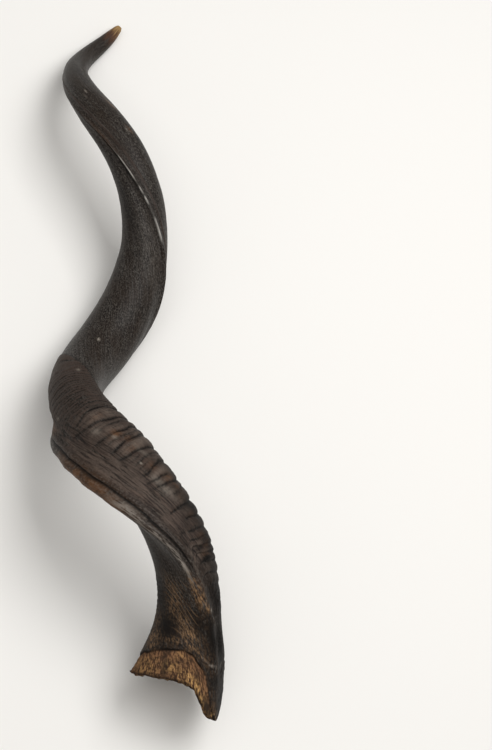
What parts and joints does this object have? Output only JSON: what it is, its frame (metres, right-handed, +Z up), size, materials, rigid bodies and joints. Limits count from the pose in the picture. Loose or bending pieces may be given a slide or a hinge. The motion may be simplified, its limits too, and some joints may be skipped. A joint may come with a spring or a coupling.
{
  "type": "kudu horn",
  "caption": "Spiral antelope horn sheath lying on its side: left-handed corkscrew with an outer keel, ribbed lower turn, smooth upper turn and an open flared base.",
  "frame": {"origin": "on the ground under the middle of the bounding box, with the horn lying at rest", "axes": "+Y along the coil axis from the open base towards the tip, +Z up from the ground, +X to the right seen from above with the tip away"},
  "size_m": [0.2142, 1.0098, 0.2001],
  "materials": {
    "horn_keratin": "dark brown-black keratin with a satin sheen, golden brown and fibrous near the rim, pale at the tip"
  },
  "bodies": {
    "root": {"horn_sheath": "horn_keratin"}
  },
  "joints": []
}
